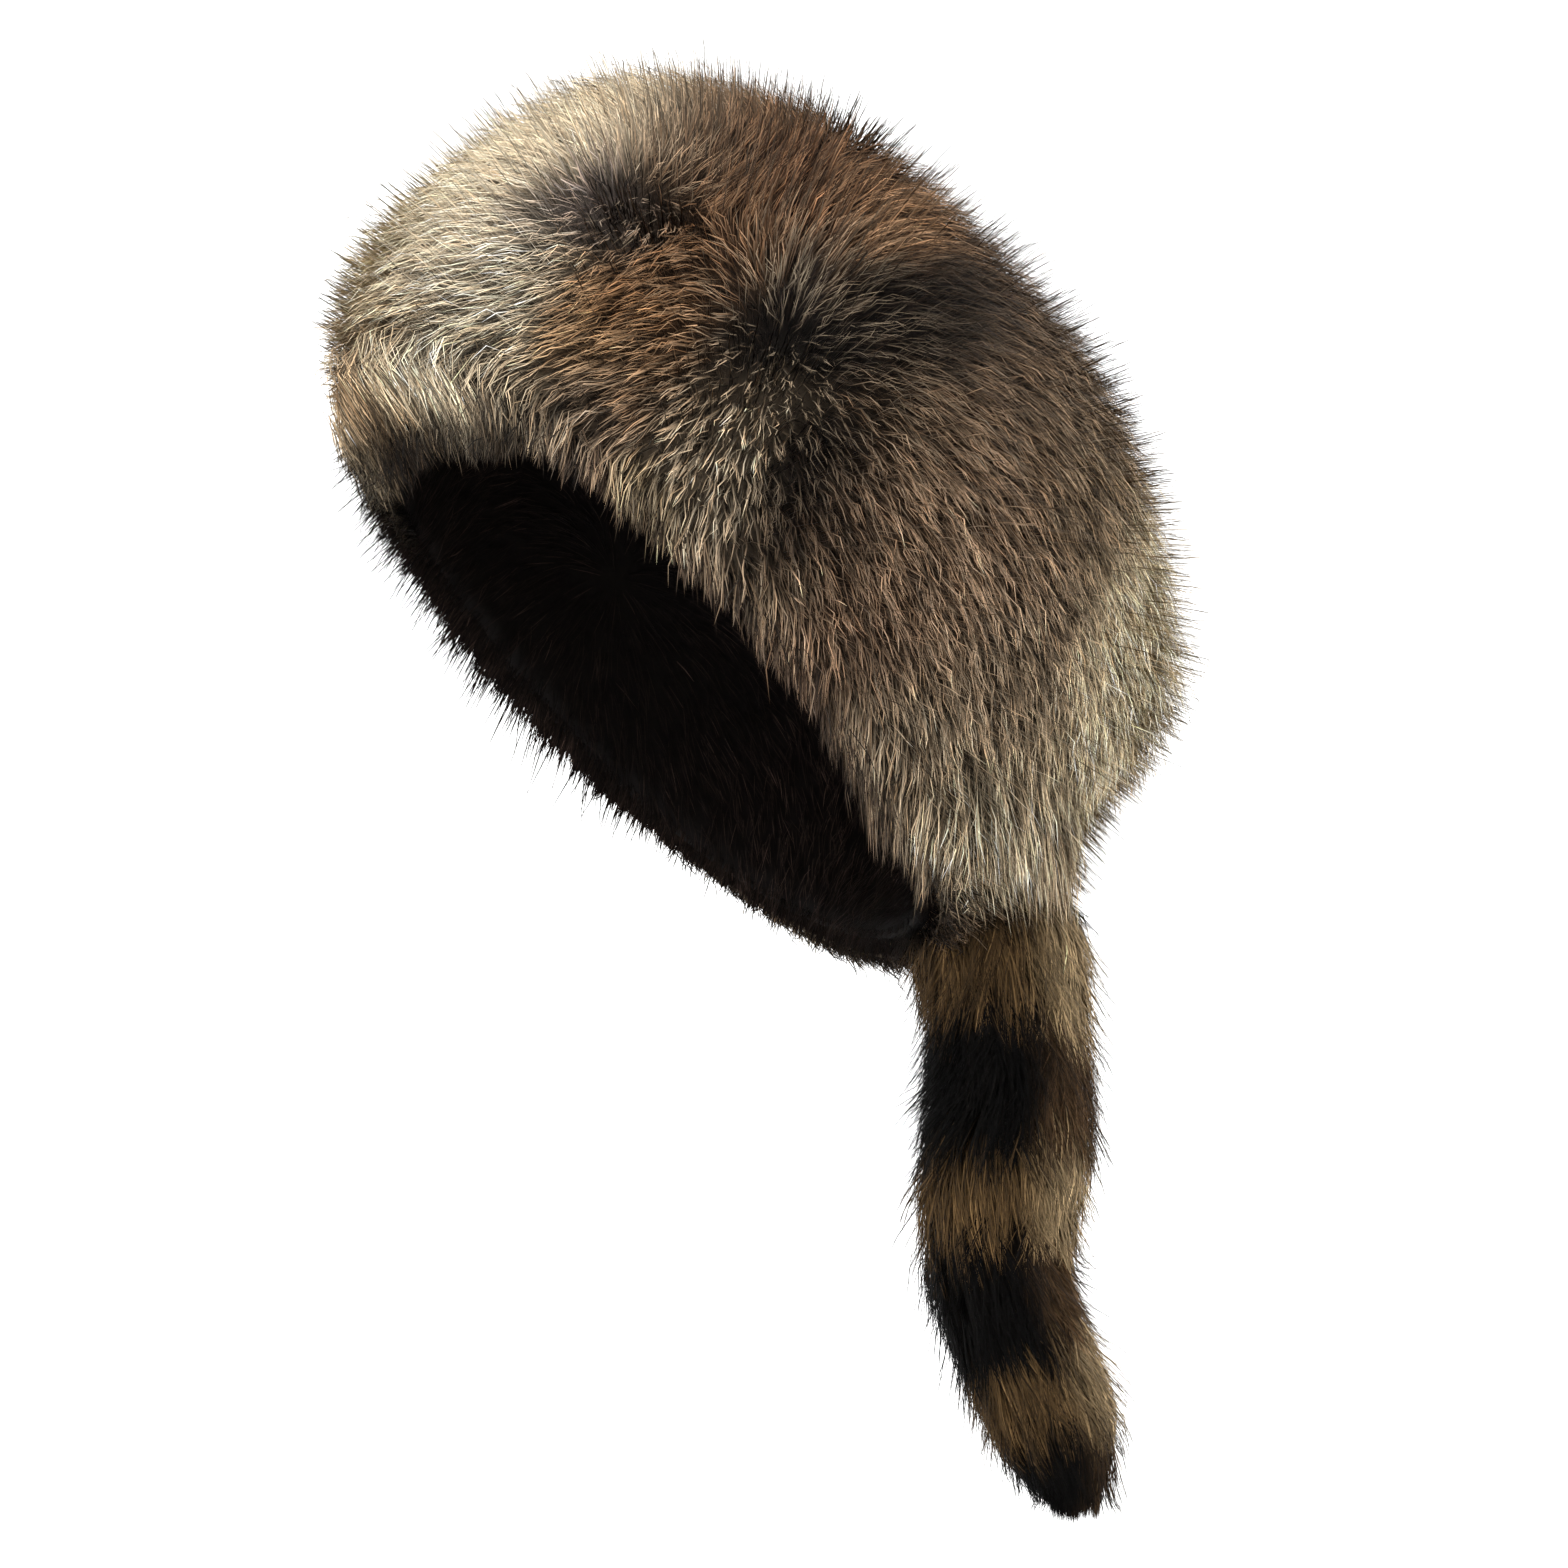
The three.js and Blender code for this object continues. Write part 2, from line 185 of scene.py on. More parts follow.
def dome_normal(p, outset):
    """Unit normals of the dome near points, level at and below the rim."""
    rise = np.clip(p[:, 2], 1e-3, None) / (DEPTH + outset)
    across = p[:, 0] / (HALF_WIDTH + outset)
    along = (p[:, 1] + FORWARD_LEAN * rise) / (HALF_LENGTH + outset)
    rho = np.maximum(np.hypot(across, along), 1e-6)
    spread = rho ** (FULLNESS - 2)
    n = np.stack([spread * across / (HALF_WIDTH + outset),
                  spread * along / (HALF_LENGTH + outset),
                  rise ** (FULLNESS - 1) / (DEPTH + outset)
                  + spread * along * FORWARD_LEAN / (HALF_LENGTH + outset) / (DEPTH + outset)], -1)
    n[p[:, 2] <= 0, 2] = 0
    return unit(n)


def on_fur(p, height):
    """The point of the fur's base under p, raised by a height. Below the rim plane it keeps its own z."""
    turn, climb = locate(p, FUR_SURFACE)
    q = dome(turn, climb, fur_outset(climb) + height)
    below = p[:, 2] < 0
    q[below, 2] = p[below, 2]
    return q


def noise(p, scale, salt):
    """Smooth wavy value in -1..1 from a few sine waves."""
    value = np.zeros(len(p))
    waves = np.random.default_rng(salt)
    for _ in range(5):
        direction = waves.normal(size=3)
        value += np.sin(p @ direction / scale + waves.uniform(0, 6.28))
    return value / 3.2


def comb(p, n):
    """Direction in which the fur lies: backward and down, and away from the whorls."""
    backward = np.clip((p[:, 1] + 70) / 60, -1, 1) * 0.75
    flow = np.stack([np.zeros(len(p)), backward, np.full(len(p), -0.7)], -1)
    for centre, reach in WHORLS:
        away = p - np.array(centre, float)
        distance = np.maximum(np.linalg.norm(away, axis=1), 1)
        flow += away * (2.2 * np.exp(-(distance / reach) ** 2) / distance)[:, None]
    flow -= n * (flow * n).sum(1, keepdims=True)
    return unit(flow)


def rotate(v, axis, angle):
    """v, across its axis, turned about the axis."""
    return v * np.cos(angle)[:, None] + np.cross(axis, v) * np.sin(angle)[:, None]


def fur_hue(p):
    """Linear colour of the fur at a point, with painted light and shade in it, and the strength of the painted
    shade in its dark gaps.
    """
    plain = linear(PLAIN_FUR)
    q = p.copy()
    mirrored = q[:, 0] < 0
    q[mirrored] = q[mirrored] * [-1, 1, 1] + [0, -7, -4]
    wobble = np.stack([noise(q, 9, 1), noise(q, 9, 2), noise(q, 9, 3)], -1) * 6
    total = np.full(len(p), 0.12)
    colour = plain * total[:, None]
    contrast = total * 0.9
    for place, radius, hue, gaps in PATCHES:
        own = p if place[0] < 0 else q
        distance = np.linalg.norm(own + wobble - np.array(place, float), axis=1) / radius
        weight = np.exp(-distance ** 2 * 1.6) * (46 / radius) ** 0.9
        total += weight
        colour += weight[:, None] * linear(hue)
        contrast += weight * gaps
    return colour / total[:, None], contrast / total


def to_world(p):
    """Points or directions of the upright cap, tilted back as it sits in the frame."""
    turn = np.array(Matrix.Rotation(-TILT_BACK, 3, 'X'))
    return p @ turn.T


def mesh_object(name, points, faces, smooth=True):
    mesh = bpy.data.meshes.new(name)
    mesh.from_pydata(points.tolist(), [], faces)
    mesh.update()
    if smooth:
        mesh.shade_smooth()
    piece = bpy.data.objects.new(name, mesh)
    bpy.context.scene.collection.objects.link(piece)
    return piece


# How far the shading normals lean out at a ribbon's edges, so that it looks round.
EDGE_LEAN = 0.55


def strands(name, rows, side, colours, width, normals):
    """A piece of many tapered ribbons. rows is (count, steps, 3) in metres, and side and normals go with it.
    colours is (count, steps, 3) linear, and width is the half width at each step, in metres."""
    count, steps, _ = rows.shape
    body = steps - 1
    left = rows[:, :body] - side[:, :body] * width[:, :body, None]
    right = rows[:, :body] + side[:, :body] * width[:, :body, None]
    pairs = np.stack([left, right], 2).reshape(count, body * 2, 3)
    verts = np.concatenate([pairs, rows[:, body:]], 1)
    per = body * 2 + 1
    base = (np.arange(count) * per)[:, None]
    shape = [[2 * k + 1, 2 * k, 2 * k + 2, 2 * k + 3] for k in range(body - 1)]
    shape.append([2 * body - 1, 2 * body - 2, 2 * body])
    flat = [i for face in shape for i in face]
    loops = (base + np.array(flat)[None]).reshape(-1)
    sizes = np.tile([len(face) for face in shape], count)
    mesh = bpy.data.meshes.new(name)
    mesh.vertices.add(count * per)
    mesh.vertices.foreach_set("co", verts.astype(np.float32).reshape(-1))
    mesh.loops.add(len(loops))
    mesh.loops.foreach_set("vertex_index", loops.astype(np.int32))
    mesh.polygons.add(len(sizes))
    starts = np.concatenate([[0], np.cumsum(sizes)[:-1]])
    mesh.polygons.foreach_set("loop_start", starts.astype(np.int32))
    mesh.polygons.foreach_set("use_smooth", np.ones(len(sizes), bool))
    mesh.update(calc_edges=True)

    tint = np.concatenate([np.repeat(colours[:, :body], 2, axis=1), colours[:, body:]], 1)
    layer = mesh.color_attributes.new("tint", 'FLOAT_COLOR', 'POINT')
    rgba = np.concatenate([tint.reshape(-1, 3), np.ones((count * per, 1))], 1)
    layer.data.foreach_set("color", rgba.astype(np.float32).reshape(-1))

    grid = math.ceil(math.sqrt(count))
    cell = np.stack([np.arange(count) % grid, np.arange(count) // grid], -1) / grid
    inset, span = 0.15 / grid, 0.7 / grid
    level = np.repeat(np.arange(body) / body, 2)
    local = np.stack([np.tile([0, 1], body), level], -1)
    local = np.concatenate([local, [[0.5, 1.0]]])
    uv = cell[:, None] + inset + local[None] * span
    uv_layer = mesh.uv_layers.new(name="OFBake")
    uv_layer.data.foreach_set("uv", uv.reshape(-1, 2)[loops].astype(np.float32).reshape(-1))

    lean = np.repeat(side[:, :body], 2, axis=1) * np.tile([-EDGE_LEAN, EDGE_LEAN], body)[None, :, None]
    facing = np.repeat(normals[:, :body], 2, axis=1) + lean
    facing = unit(np.concatenate([facing, normals[:, body:]], 1))
    mesh.normals_split_custom_set_from_vertices(facing.reshape(-1, 3).astype(np.float32))
    piece = bpy.data.objects.new(name, mesh)
    bpy.context.scene.collection.objects.link(piece)
    return piece


def hair_material(name, roughness, sheen, dullness):
    """Fur: the strand's own tint, mottled by a fine grain."""
    material = bpy.data.materials.new(name)
    material.use_nodes = True
    nodes, links = material.node_tree.nodes, material.node_tree.links
    shader = nodes["Principled BSDF"]
    shader.inputs["Roughness"].default_value = roughness
    shader.inputs["Specular IOR Level"].default_value = dullness
    shader.inputs["Sheen Weight"].default_value = sheen
    shader.inputs["Sheen Roughness"].default_value = 0.4
    tint = nodes.new("ShaderNodeAttribute")
    tint.attribute_name = "tint"
    place = nodes.new("ShaderNodeTexCoord")
    grain = nodes.new("ShaderNodeTexNoise")
    grain.inputs["Scale"].default_value = 900
    grain.inputs["Detail"].default_value = 2
    links.new(place.outputs["Object"], grain.inputs["Vector"])
    spread = nodes.new("ShaderNodeMapRange")
    spread.inputs["From Min"].default_value = 0.3
    spread.inputs["From Max"].default_value = 0.7
    spread.inputs["To Min"].default_value = 0.82
    spread.inputs["To Max"].default_value = 1.16
    links.new(grain.outputs["Fac"], spread.inputs["Value"])
    scaled = nodes.new("ShaderNodeVectorMath")
    scaled.operation = 'SCALE'
    links.new(tint.outputs["Color"], scaled.inputs[0])
    links.new(spread.outputs["Result"], scaled.inputs["Scale"])
    links.new(scaled.outputs["Vector"], shader.inputs["Base Color"])
    return material


def nearest(points, guides):
    """Index of the guide nearest to each point."""
    tree = KDTree(len(guides))
    for i, guide in enumerate(guides):
        tree.insert(guide, i)
    tree.balance()
    return np.array([tree.find(p)[1] for p in points])


def grow(roots, guides, path_of, clump, jitter):
    """Strand rows from guide paths, which hold each guide's points on the base, (guides, steps, 3)."""
    owner = nearest(roots, guides)
    offset = roots - guides[owner]
    steps = path_of.shape[1]
    rows = np.empty((len(roots), steps, 3))
    for k in range(steps):
        t = k / (steps - 1)
        rows[:, k] = path_of[owner, k] + offset * (1 - clump * t ** 1.2)[:, None] + jitter * t ** 1.5
    return rows, owner


def rolled(normals, rows, count):
    """Which way each strand's width lies: across it and its normal, rolled a little at random."""
    side = unit(np.cross(normals, np.gradient(rows, axis=1)))
    roll = random.normal(0, 0.4, count)[:, None, None]
    return unit(side * np.cos(roll) + normals * np.sin(roll))


def dress(piece, material, node):
    """Give a piece its material, and put it in the place of a CAD node."""
    piece.data.materials.append(material)
    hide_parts(node)
    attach(piece, "root")


def sample_dome(count, test):
    """Random roots, evenly spread over the part of the fur's base that a test keeps."""
    kept, total = [], 0
    while total < count:
        turn = random.uniform(-math.pi, math.pi, count * 2)
        climb = random.uniform(0, math.pi / 2, count * 2)
        p = dome(turn, climb, fur_outset(climb))
        a = dome(turn + 1e-3, climb, fur_outset(climb)) - p
        b = dome(turn, climb + 1e-3, fur_outset(climb)) - p
        area = np.linalg.norm(np.cross(a, b), axis=1)
        chosen = p[(random.uniform(0, 1, len(p)) < area / area.max()) & test(p)]
        kept.append(chosen)
        total += len(chosen)
    return np.concatenate(kept)[:count]


# Fur of the crown. Each strand follows the nearest guide, and strands of one guide draw together into a tuft.
STEPS = 4
FUR_LENGTH = 11.8
GUIDES, RIM_GUIDES = 32000, 1800

# Which way the fur hangs where it is free, and which way it is turned in under the front of the rim.
DOWN = np.array([0.0, math.sin(TILT_BACK), -math.cos(TILT_BACK)])
TUCKED = np.array([0.0, 0.985, -0.17])

# Height at which the nape's fringe ends, how much longer its corner is, and how far the fur is turned in
# at the front.
NAPE_HEIGHT = -61.5
NAPE_CORNER = 7.0
TURNED_IN = 15.0

# Longest reach of the fur past the rim: on the wearer's right and left, more at the back, and at the front.
HANG_RIGHT, HANG_LEFT, HANG_BACK = 1.0, 13.0, 16.0
HANG_BROW_RIGHT, HANG_BROW = 6.0, 14.0

# Change of a strand's length, as a share of it: at a whorl, at the rim and nape, and under the front.
WHORL_SHORTER, EDGE_LONGER, TUCKED_LONGER = 0.65, 1.05, 0.3

# Where the cap is fuller or flatter: place, radius and added depth of the fur.
PLUMP = [
    ((12, 104, 88), 30, 8.5), ((20, 111, 62), 17, -10.5), ((34, 94, 98), 20, 2.5), ((16, 113, 32), 13, 4.0),
    ((-32, -125, 34), 30, 10.5), ((0, -112, 100), 30, 5.5),
]

# Breadth of the rim's underside, and the height under which a root belongs to it.
RIM_BREADTH = 5.0
UNDER_RIM = -1.0


def rim_roots(count):
    """Random roots on the underside of the rim, and at the front on the fur that is turned in under it."""
    turn = random.uniform(-math.pi, math.pi, count)
    turn = np.where(random.uniform(0, 1, count) < 0.4, turn, random.normal(-math.pi / 2, 0.6, count))
    inward = random.uniform(0, 1, count) * (RIM_BREADTH + TURNED_IN * smoothstep(-np.sin(turn), 0.45, 0.9))
    roots = dome(turn, np.zeros(count), SKIN_OUTSET + 3.5 - inward)
    roots[:, 2] = -1.5 - 0.25 * np.maximum(inward - RIM_BREADTH, 0)
    return roots


def turned_in(p):
    """1 on the inner part of the fur that is turned in at the front."""
    inside = (1 - np.hypot(p[:, 0] / HALF_WIDTH, p[:, 1] / HALF_LENGTH)) * HALF_LENGTH
    return smoothstep(inside, -3, 9) * (p[:, 2] < UNDER_RIM) * (p[:, 1] < -40)


def whorl_nearness(p):
    """1 in the middle of a whorl, where the fur is short."""
    near = np.zeros(len(p))
    for centre, reach in WHORLS:
        distance = np.linalg.norm(p - np.array(centre, float), axis=1)
        near = np.maximum(near, np.exp(-(distance / (reach * 0.3)) ** 2))
    return near


def whorl_halo(p):
    """1 widely round a whorl, where the tips are silvery, partly of their own and partly with painted sheen."""
    near = np.zeros(len(p))
    for centre, reach in WHORLS:
        distance = np.linalg.norm(p - np.array(centre, float), axis=1)
        near = np.maximum(near, smoothstep(-distance, -reach * 0.75, -5))
    return near


def nape(p):
    """1 low at the back, where the fur hangs straight down over the tail's root."""
    return smoothstep(p[:, 1], 50, 95) * smoothstep(-to_world(p)[:, 2], 33, 46)


def brow(p):
    """1 at the front of the rim, where the fur is turned under."""
    return smoothstep(-p[:, 1], 60, 100) * smoothstep(-p[:, 2], -7, 0)


def plump(p):
    """Extra depth of the fur at a point, from the PLUMP places."""
    return sum(depth * np.exp(-(np.linalg.norm(p - np.array(place, float), axis=1) / radius) ** 2)
               for place, radius, depth in PLUMP)


def grow_guides(roots):
    """Paths on the fur's base along the comb, that hang free at the nape and past the rim, where they end."""
    count = len(roots)
    edge = smoothstep(-roots[:, 2], -12, 0)
    tucked = (roots[:, 2] < UNDER_RIM) * brow(roots)
    longer = 1 - WHORL_SHORTER * whorl_nearness(roots)
    longer = longer + EDGE_LONGER * np.maximum(nape(roots), edge) * (1 - tucked) + TUCKED_LONGER * tucked
    length = FUR_LENGTH * random.uniform(0.8, 1.2, count) * longer
    swirl = noise(roots, 7, 11) * 0.24 + noise(roots, 2.2, 12) * 0.26 + random.normal(0, 0.22, count)
    path = np.empty((count, STEPS, 3))
    path[:, 0] = spot = roots
    for k in range(1, STEPS):
        normal = dome_normal(spot, FUR_SURFACE)
        flow = rotate(comb(spot, normal), normal, swirl * (1.2 - 0.5 * k))
        front = smoothstep(-spot[:, 1], 50, 95)[:, None]
        over = smoothstep(-spot[:, 2], -2 - 9 * front[:, 0], 5 - 3 * front[:, 0])
        free = np.maximum(np.maximum(over, tucked), nape(spot))[:, None]
        under = smoothstep(-spot[:, 2], -3, 3)[:, None]
        turning_in = TUCKED * under + (flow - [0, 0, 1]) * (1 - under)
        falling = unit((flow * 0.35 + DOWN) * (1 - front) + turning_in * front)
        step = (length / (STEPS - 1))[:, None]
        spot = on_fur(spot + flow * step, 0.0) * (1 - free) + (spot + falling * step) * free
        path[:, k] = spot
    hang = np.interp(roots[:, 0], [-20, 40], [HANG_RIGHT, HANG_LEFT])
    hang = hang + HANG_BACK * smoothstep(roots[:, 1], 15, 80) * (roots[:, 0] > 10)
    brow_hang = HANG_BROW_RIGHT + (HANG_BROW - HANG_BROW_RIGHT) * smoothstep(roots[:, 0], -45, -5)
    hang = np.maximum(hang, brow_hang * brow(roots)) * random.uniform(0.65, 1.1, count)
    drop = np.maximum(path[:, 0, 2] - path[:, -1, 2], 1e-3)
    fall = np.maximum(to_world(path[:, 0])[:, 2] - to_world(path[:, -1])[:, 2], 1e-3)
    floor = NAPE_HEIGHT - NAPE_CORNER * smoothstep(roots[:, 0], 15, 40) + random.normal(0, 3, count)
    share = np.minimum((path[:, 0, 2] + hang) / drop, (to_world(path[:, 0])[:, 2] - floor) / fall)
    return path[:, :1] + (path - path[:, :1]) * np.clip(share, 0.06, 1)[:, None, None]


guide_roots = np.concatenate([sample_dome(GUIDES, lambda p: p[:, 2] > UNDER_RIM), rim_roots(RIM_GUIDES)])
guide_path = grow_guides(guide_roots)
guide_bright = random.normal(0, 1, len(guide_roots))
guide_tilt = random.normal(0, 0.22, (len(guide_roots), 3))
guide_stand = random.uniform(0.78, 1.12, len(guide_roots))
guide_fleck = random.uniform(0, 1, len(guide_roots))
guide_wave = random.normal(0, 0.6, (len(guide_roots), 2, 3))


# Strands are guard hairs, deep underfur or the light tufts between. Here are the shares of the first two,
# and how far a guard hair that stands out runs along the pelt.
GUARD_SHARE, GUARD_EXTRA, DEEP_FROM = 0.1, 0.08, 0.64
ERECT_RUN = 0.28

# Height of a strand's steps over the fur's base, as a share of how far it stands, and the height's limits.
GUARD_SHAPE = (0, 0.65, 1.35, 2.0)
SOFT_SHAPE = (0, 0.42, 0.78, 1.0)
PLUMP_SHAPE = (0, 0.5, 0.9, 1.0)
HEIGHT_LIMIT, PLUMP_LIMIT = 19.5, 21.0
ROOT_HEIGHT = -1.5

# Brightness of a strand's steps from root to tip, and the width of its steps. The dark roots are partly the
# pelt's own dark underfur and partly painted shade deep in the fur.
DARK_TIP_LADDER = (0.2, 0.4, 0.3, 0.1)
LIGHT_TIP_LADDER = (0.05, 0.22, 0.82, 1.5)
SILVER_LADDER = (0.0, 0.0, 0.5, 1.15)
GUARD_WIDTH = (0.8, 1.0, 1.0, 0.0)
SOFT_WIDTH = (0.8, 1.0, 0.85, 0.0)

# Direction that the shading of the turned-in fur faces, and the way it bulges.
BROW_FACING = np.array([0.7, -0.4, -0.4])
BROW_BULGE = np.array([0.0, -0.2, -1.0])


def fur_heights(roots, owner, guard, deep):
    """Height of each step of each strand over the fur's base."""
    stand = random.uniform(8.0, 11.0, len(roots)) * (0.5 + 0.5 * smoothstep(roots[:, 2], -4, 26))
    height = np.where(guard[:, None], [GUARD_SHAPE], [SOFT_SHAPE]) * stand[:, None]
    height = np.minimum(height * np.where(deep, 0.6, 1.0)[:, None], HEIGHT_LIMIT)
    fuller = plump(roots)[:, None] * np.array(PLUMP_SHAPE)
    height = np.minimum(height * guide_stand[owner, None] + fuller, PLUMP_LIMIT)
    height[:, 0] = ROOT_HEIGHT
    return height


def fur_colours(roots, rows, placed, owner, guard, deep):
    """Linear colour of each step of each strand: the pelt's hue with tufts, painted shade in the gaps, under
    the rim and low at the front, and dark or silver tips, the silver partly painted sheen.
    """
    count = len(roots)
    under_rim = roots[:, 2] < UNDER_RIM
    hue, contrast = fur_hue(on_fur(rows[:, 0] * 0.45 + rows[:, -1] * 0.55, 7))
    # Painted shade: fur under the rim and turned in under the front is darkened.
    rim_shade_share = (under_rim * (0.85 - 0.6 * brow(roots)))[:, None]
    hue = hue * (1 - rim_shade_share) + linear(RIM_SHADE) * rim_shade_share
    inner = 0.85 * turned_in(roots)[:, None]
    hue = hue * (1 - inner) + linear(RIM_SHADE) * 1.3 * inner

    tuft = guide_bright[owner] * 0.26 * contrast + noise(roots, 2.4, 13) * 0.2 * contrast
    bright = np.exp(tuft + random.normal(0, 0.3, count))
    light = 1.17 * (1 + 0.2 * smoothstep(contrast, 0.6, 1.0))
    # Deep strands are darkened as painted shade in the gaps between the tufts.
    gap_shade = np.clip(1 - 0.72 * contrast, 0.2, 1) * (1 + 0.2 * smoothstep(contrast, 0.6, 1.0))
    bright *= np.where(deep, gap_shade, light)
    bright *= np.where(guide_fleck[owner] < 0.34 * np.clip(contrast - 0.6, 0, 1), 0.4, 1.0)
    dark_tip = guard & (random.uniform(0, 1, count) < 0.85) | (random.uniform(0, 1, count) < 0.1 * contrast)
    ladder = np.where(dark_tip[:, None], [DARK_TIP_LADDER], [LIGHT_TIP_LADDER])
    ladder = 1 - (1 - ladder) * (0.4 + 0.6 * np.clip(contrast, 0, 1))[:, None]
    warm = random.normal(0, 0.05, count)
    colours = hue[:, None] * bright[:, None, None] * ladder[:, :, None]
    colours = colours * np.stack([1 + warm, np.ones(count), 1 - warm], -1)[:, None]

    # Silver tips, partly the hairs' own and partly painted sheen, held back at the nape and low at the front.
    silver = (random.uniform(0, 1, count) < 0.6) & ~deep & ~under_rim
    low_front = smoothstep(-roots[:, 1], 60, 90) * smoothstep(-roots[:, 2], -35, -8)
    silver_and_sheen = silver * (0.15 + 0.85 * whorl_halo(roots)) * random.uniform(0.3, 1.0, count)
    silver_and_sheen = silver_and_sheen * (1 - 0.8 * nape(roots)) * (1 - low_front)
    colours += (silver_and_sheen[:, None] * np.array(SILVER_LADDER))[:, :, None] * linear(SILVER_TIP_AND_SHEEN)

    # Painted shade: the lowest fur at the front, on the wearer's right, is darkened.
    level = to_world(placed.reshape(-1, 3))[:, 2].reshape(count, STEPS) + 0.22 * placed[:, :, 0]
    colours *= 1 - (0.7 * smoothstep(-level, -66, -50) * (placed[:, :, 1] < -60))[:, :, None]
    return colours


def fur_piece(name, count, test):
    """One region of the crown's fur: underfur darkened partly with painted shade, lighter tufts over it, and
    guard hairs that stand out.
    """
    under = rim_roots(count // 2)
    under = under[test(under)][:count // 8]
    roots = np.concatenate([sample_dome(count - len(under), test), under])
    _, roughness = fur_hue(roots)
    kind = random.uniform(0, 1, count)
    guard = kind < GUARD_SHARE + GUARD_EXTRA * roughness
    deep = (kind > DEEP_FROM) & ((roots[:, 2] >= UNDER_RIM) | (brow(roots) > 0.5))
    clump = np.where(guard, 0.1, np.where(deep, 0.2, random.uniform(0.6, 0.95, count)))
    jitter = random.normal(0, 1, (count, 3)) * np.where(guard, 2.2, 0.6)[:, None]
    rows, owner = grow(roots, guide_roots, guide_path, clump, jitter)
    rows[:, 1:3] += random.normal(0, 0.4, (count, 2, 3)) + guide_wave[owner]
    erect = guard & (roots[:, 2] > 2)
    rows[erect] = rows[erect, :1] + (rows[erect] - rows[erect, :1]) * ERECT_RUN

    height = fur_heights(roots, owner, guard, deep)
    normals = np.stack([dome_normal(rows[:, k], FUR_SURFACE) for k in range(STEPS)], 1)
    below = smoothstep(-rows[:, :, 2], 0, 8)
    turned = (0.8 * smoothstep(-rows[:, :, 2], 0, 5) * smoothstep(-rows[:, :, 1], 50, 90))[:, :, None]
    lift = unit(normals * (1 - turned) + BROW_BULGE * turned)
    placed = rows + lift * (height * (1 - 0.6 * below))[:, :, None]
    normals = unit(normals * (1 - turned) + BROW_FACING * turned)
    own = np.where(deep, 0.85, random.uniform(0.8, 1.12, count))
    placed = placed[:, :1] + (placed - placed[:, :1]) * own[:, None, None]
    side = rolled(normals, placed, count)

    colours = fur_colours(roots, rows, placed, owner, guard, deep)
    half = random.uniform(0.12, 0.19, count) * THICKEN
    width = half[:, None] * np.where(guard[:, None], [GUARD_WIDTH], [SOFT_WIDTH]) / 1000
    tilt = (random.normal(0, 0.2, (count, 3)) + guide_tilt[owner])[:, None]
    piece = strands(name, to_world(placed) / 1000, to_world(side), np.clip(colours, 0, 0.95), width,
                    to_world(unit(normals + tilt)))
    dress(piece, fur_coat, "crown_fur")


fur_coat = hair_material("fur_coat", 0.65, 0.0, 0.07)
dark_coat = hair_material("dark_coat", 0.6, 0.0, 0.06)
tail_coat = hair_material("tail_coat", 0.65, 0.0, 0.05)


def ring_faces(rings, around, cap):
    """Faces between rings of points that follow each other, with a fan to one last point as a cap."""
    faces = []
    for row in range(rings - 1):
        for i in range(around):
            j = (i + 1) % around
            faces.append((row * around + i, row * around + j, (row + 1) * around + j, (row + 1) * around + i))
    if cap:
        last = (rings - 1) * around
        faces.extend((last + i, last + (i + 1) % around, rings * around) for i in range(around))
    return faces


def paint(piece, colours):
    """Give a piece its tint, one linear colour a point."""
    layer = piece.data.color_attributes.new("tint", 'FLOAT_COLOR', 'POINT')
    rgba = np.concatenate([colours, np.ones((len(colours), 1))], 1)
    layer.data.foreach_set("color", rgba.astype(np.float32).reshape(-1))


AROUND, UP = 96, 34
turns = np.arange(AROUND) / AROUND * 2 * math.pi


def dome_points(lip, outset_at):
    """Rings of points up a dome, with a turned-in lip first: each of its rings is an outset and a drop."""
    rings = [dome(turns, np.zeros(AROUND), outset) + [0, 0, -drop] for outset, drop in lip]
    for row in range(UP):
        climb = np.full(AROUND, row / UP * math.pi / 2)
        rings.append(dome(turns, climb, outset_at(climb)))
    return np.concatenate(rings + [dome(0.0, math.pi / 2, outset_at(np.array(math.pi / 2)))[None]])


# The dense underfur that the strands grow from. Its hue is darkened by UNDERFUR_SHADE: partly the underfur's
# own dark tone and partly painted shade under the strands.
UNDERFUR_SHADE = 0.16
base_lip = [(SKIN_OUTSET + 0.4, 0.5), (fur_outset(0.0) - 1.2, 2.5)]
base_points = dome_points(base_lip, lambda climb: fur_outset(climb) - 0.4)
underfur = mesh_object("underfur", to_world(base_points) / 1000, ring_faces(UP + 2, AROUND, True))
paint(underfur, fur_hue(base_points)[0] * UNDERFUR_SHADE)
dress(underfur, fur_coat, "crown_fur")

fur_piece("fur_left_front", PER_PIECE, lambda p: (p[:, 0] >= 0) & (p[:, 1] < 5))
fur_piece("fur_left_back", PER_PIECE, lambda p: (p[:, 0] >= 0) & (p[:, 1] >= 5))
fur_piece("fur_right_front", PER_PIECE, lambda p: (p[:, 0] < 0) & (p[:, 1] < 5))
fur_piece("fur_right_back", PER_PIECE, lambda p: (p[:, 0] < 0) & (p[:, 1] >= 5))

# Lining: the pelt's surface and its short dark hair.
PELT_OUTSET = 0.3
lining_lip = [(5.4, 0.6), (2.5, 2.2)]
lining_points = dome_points(lining_lip, lambda climb: np.full(np.shape(climb), PELT_OUTSET))
lining_faces = [face[::-1] for face in ring_faces(UP + 2, AROUND, True)]
lining_pelt = mesh_object("lining_pelt", to_world(lining_points) / 1000, lining_faces)
